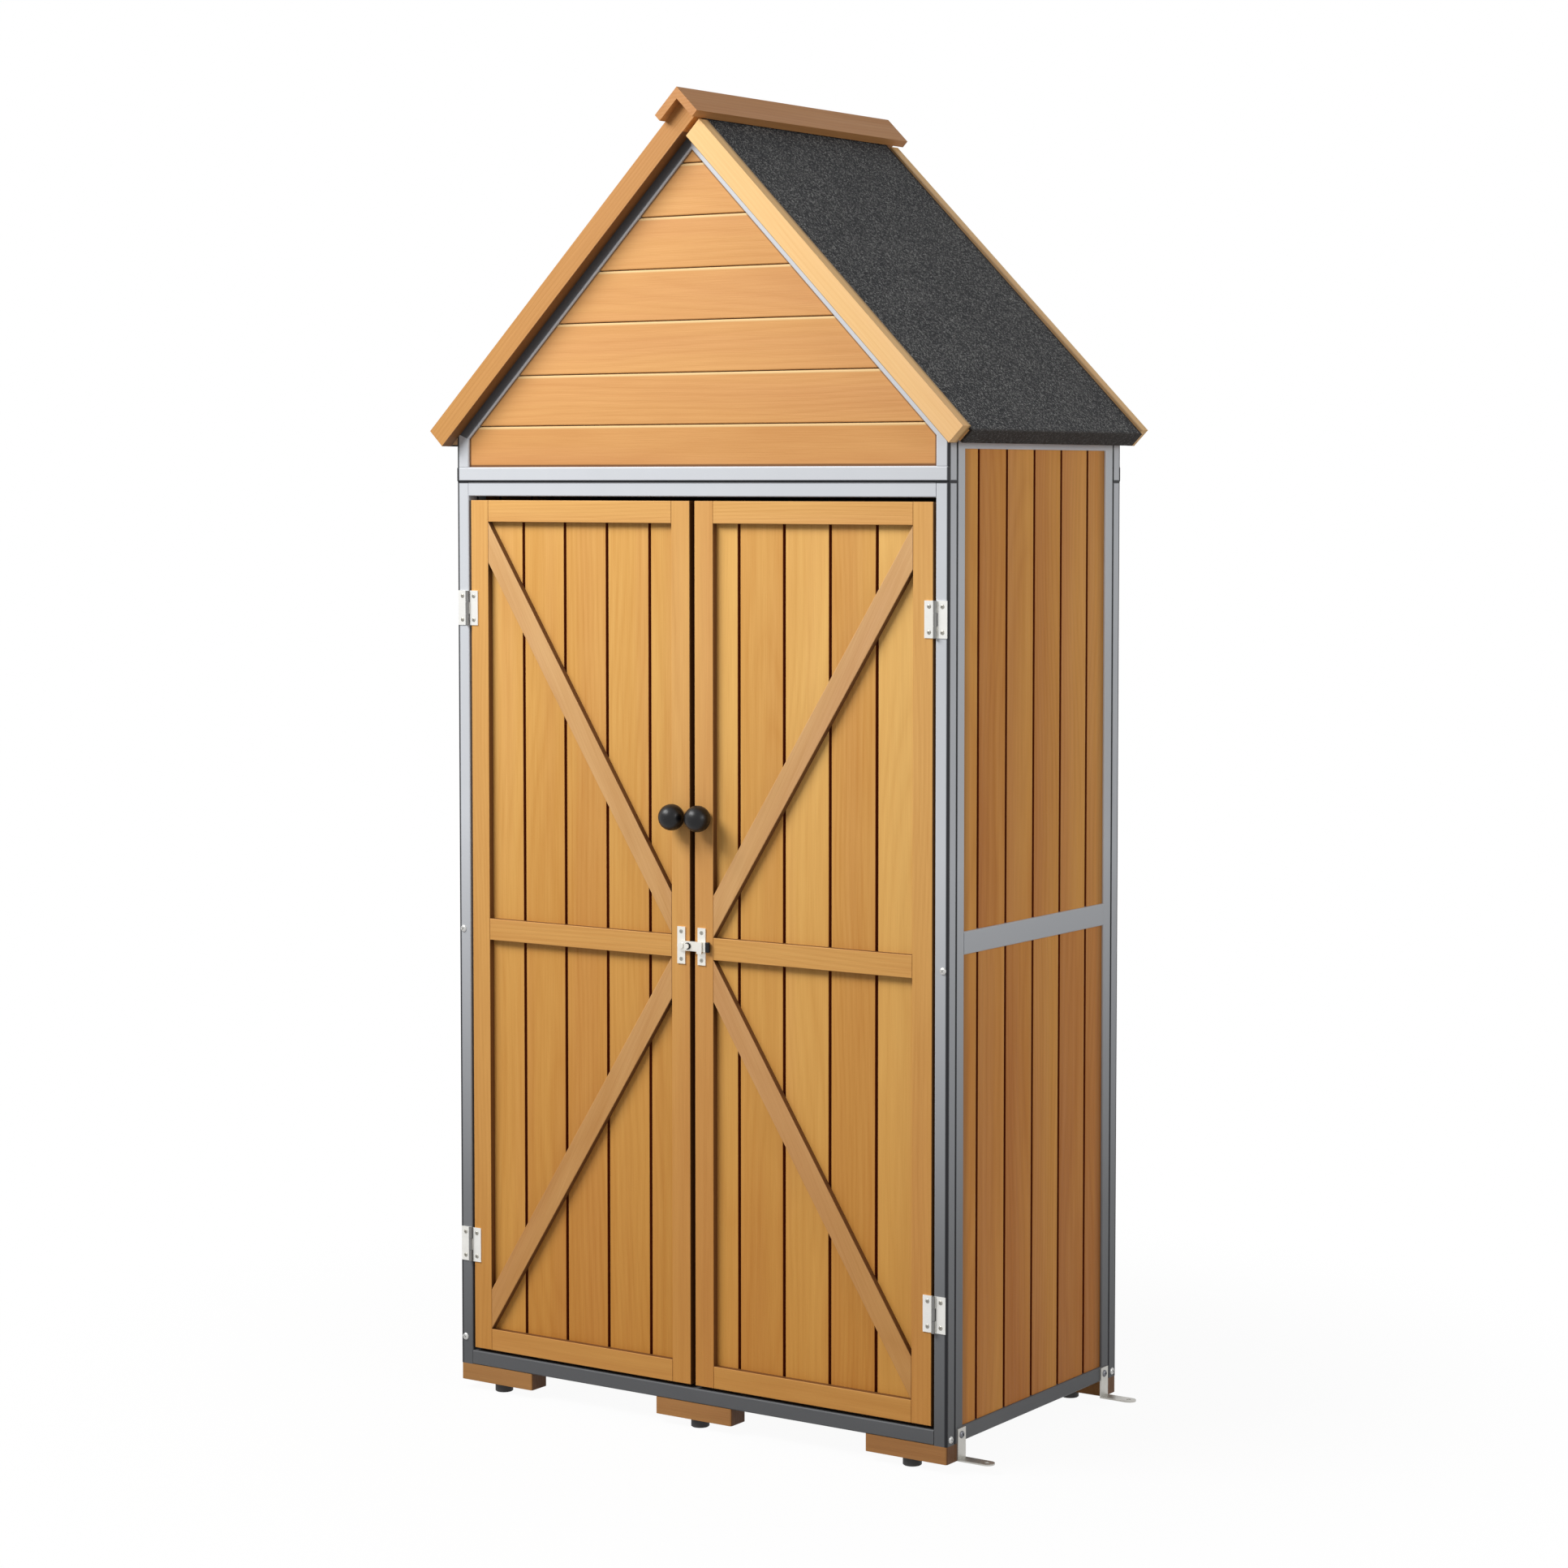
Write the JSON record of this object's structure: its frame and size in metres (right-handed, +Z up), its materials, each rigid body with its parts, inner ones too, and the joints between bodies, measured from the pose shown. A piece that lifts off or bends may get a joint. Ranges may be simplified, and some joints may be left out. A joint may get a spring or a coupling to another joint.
{
  "type": "garden shed",
  "caption": "Small wooden garden shed with a steep gable roof, a steel tube frame, braced double doors, a swing-bar latch and levelling feet",
  "frame": {"origin": "on the ground under the middle of the shed's body", "axes": "+Z up, the doors face -Y, +X to the right as seen from the front of the doors"},
  "size_m": [0.8836, 0.523, 1.7926],
  "materials": {
    "lining_board": "oiled softwood boards with a satin sheen",
    "batten_timber": "planed and oiled softwood battens",
    "roof_timber": "unfinished softwood boarding",
    "floor_timber": "sawn softwood",
    "plinth_timber": "planed softwood blocks",
    "roofing_felt": "bitumen felt with fine mineral granules",
    "steel_tube": "satin silver paint on square tube",
    "zinc_plate": "bright zinc plate",
    "black_gloss": "glossy black",
    "black_plastic": "matt black moulded plastic"
  },
  "bodies": {
    "shed": {"levelling_feet": "black_plastic", "foot_blocks": "plinth_timber", "front_frame_posts": "steel_tube", "back_frame_posts": "steel_tube", "front_frame_rails": "steel_tube", "back_frame_rails": "steel_tube", "side_posts": "steel_tube", "side_rails": "steel_tube", "eaves_rails": "steel_tube", "gable_sills": "steel_tube", "gable_posts": "steel_tube", "left_rafters": "steel_tube", "right_rafters": "steel_tube", "gable_panels": "lining_board", "left_wall_panels": "lining_board", "right_wall_panels": "lining_board", "back_wall_panels": "lining_board", "floor_deck": "floor_timber", "floor_bearers": "floor_timber", "left_roof_deck": "roof_timber", "right_roof_deck": "roof_timber", "left_roof_felt": "roofing_felt", "right_roof_felt": "roofing_felt", "left_barges": "batten_timber", "right_barges": "batten_timber", "left_ridge_board": "batten_timber", "right_ridge_board": "batten_timber", "anchor_brackets": "zinc_plate", "hinge_frame_leaves": "zinc_plate"},
    "left_door": {"left_door_boards": "lining_board", "left_door_stiles": "batten_timber", "left_door_rails": "batten_timber", "left_door_braces": "batten_timber", "left_door_knob": "black_gloss", "left_door_hinge_leaves": "zinc_plate", "left_door_latch_plate": "zinc_plate"},
    "right_door": {"right_door_boards": "lining_board", "right_door_stiles": "batten_timber", "right_door_rails": "batten_timber", "right_door_braces": "batten_timber", "right_door_knob": "black_gloss", "right_door_hinge_leaves": "zinc_plate", "right_door_latch_keeper": "zinc_plate"},
    "latch_bar": {"latch_bar": "zinc_plate"}
  },
  "joints": [
    {"name": "left_door_hinge", "type": "hinge", "parent": "shed", "child": "left_door", "pos_m": [-0.381, -0.228, 0.653], "axis": [0, 0, -1], "range_deg": [0, 170]},
    {"name": "right_door_hinge", "type": "hinge", "parent": "shed", "child": "right_door", "pos_m": [0.381, -0.228, 0.653], "axis": [0, 0, 1], "range_deg": [0, 170]},
    {"name": "latch_pivot", "type": "hinge", "parent": "left_door", "child": "latch_bar", "pos_m": [-0.015, -0.2286, 0.655], "axis": [0, -1, 0], "range_deg": [0, 95]}
  ]
}
